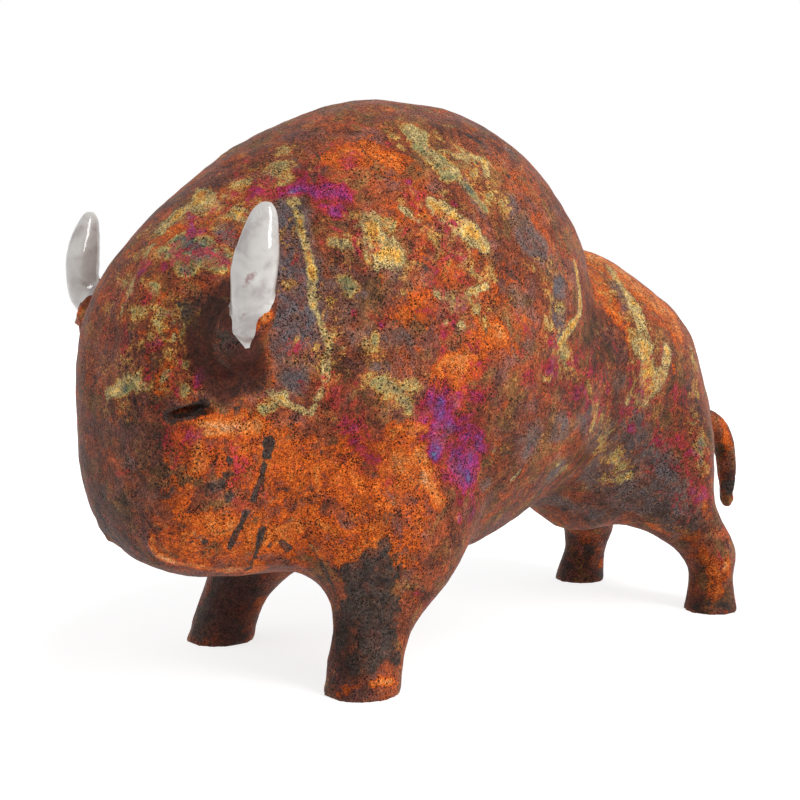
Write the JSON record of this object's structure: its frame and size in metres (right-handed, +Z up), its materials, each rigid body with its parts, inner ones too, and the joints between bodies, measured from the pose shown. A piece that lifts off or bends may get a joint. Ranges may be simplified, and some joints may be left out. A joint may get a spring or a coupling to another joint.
{
  "type": "bison sculpture",
  "caption": "Standing bison figurine, hand-built from hollow clay shells with a high hump, short legs, glazed horns and a hanging tail.",
  "frame": {"origin": "on the ground, below the middle of the bison's outline", "axes": "+Z up, -Y the way the bison faces, +X its left side"},
  "size_m": [0.1478, 0.3406, 0.2265],
  "materials": {
    "copper_glaze": "satin copper-lustre raku glaze over grogged clay: rust, gold, olive, grey and violet flashes with fine dark pits",
    "white_glaze": "glossy white crackle glaze",
    "raw_clay": "unglazed smoked clay"
  },
  "bodies": {
    "root": {"head_shell": "copper_glaze", "beard_base": "copper_glaze", "hump_shell": "copper_glaze", "rump_shell": "copper_glaze", "neck_joint_coil": "raw_clay", "waist_joint_coil": "raw_clay", "front_left_leg": "copper_glaze", "front_right_leg": "copper_glaze", "hind_left_leg": "copper_glaze", "hind_right_leg": "copper_glaze", "left_horn_socket": "copper_glaze", "right_horn_socket": "copper_glaze", "left_horn": "white_glaze", "right_horn": "white_glaze", "tail": "copper_glaze"}
  },
  "joints": []
}
